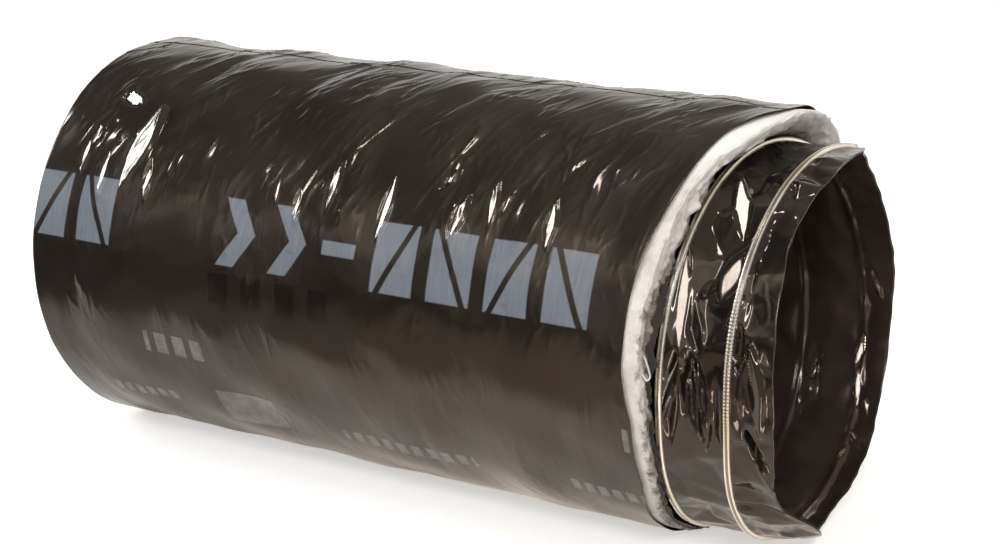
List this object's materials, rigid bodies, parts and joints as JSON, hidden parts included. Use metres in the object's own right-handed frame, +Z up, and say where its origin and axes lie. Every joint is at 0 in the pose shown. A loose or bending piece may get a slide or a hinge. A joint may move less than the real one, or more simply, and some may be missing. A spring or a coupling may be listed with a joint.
{
  "type": "insulated flexible air duct",
  "caption": "Flexible air duct: wire-helix film core in a fibre blanket and film jacket, its cuff bare to slip over a round collar.",
  "frame": {"origin": "on the core's axis, in the plane of its mouth", "axes": "+X along the core, out of the mouth; +Z up, away from the surface that the duct lies on"},
  "size_m": [0.7, 0.3438, 0.3418],
  "materials": {
    "core_film": "high-gloss black polyester film, crumpled",
    "spring_wire": "coated spring steel wire with a pale brassy tint",
    "insulation_fibre": "white fibre wadding, smooth outside and fluffy where cut",
    "jacket_film": "glossy black polyethylene film with fine wrinkles"
  },
  "bodies": {
    "core": {"core_inner_ply": "core_film", "helix_wire": "spring_wire", "core_outer_ply": "core_film"},
    "mouth": {"core_cuff": "core_film"},
    "insulation": {"insulation_blanket": "insulation_fibre"},
    "jacket": {"jacket_film": "jacket_film"}
  },
  "joints": [
    {"name": "core_stretch", "type": "slide", "parent": "core", "child": "mouth", "axis": [1, 0, 0], "range_m": [-0.06, 0.008], "deforming": ["core_inner_ply", "helix_wire", "core_outer_ply"]},
    {"name": "insulation_slide", "type": "slide", "parent": "core", "child": "insulation", "axis": [1, 0, 0], "range_m": [-0.12, 0.085]},
    {"name": "jacket_slide", "type": "slide", "parent": "insulation", "child": "jacket", "axis": [1, 0, 0], "range_m": [-0.12, 0.06]}
  ]
}
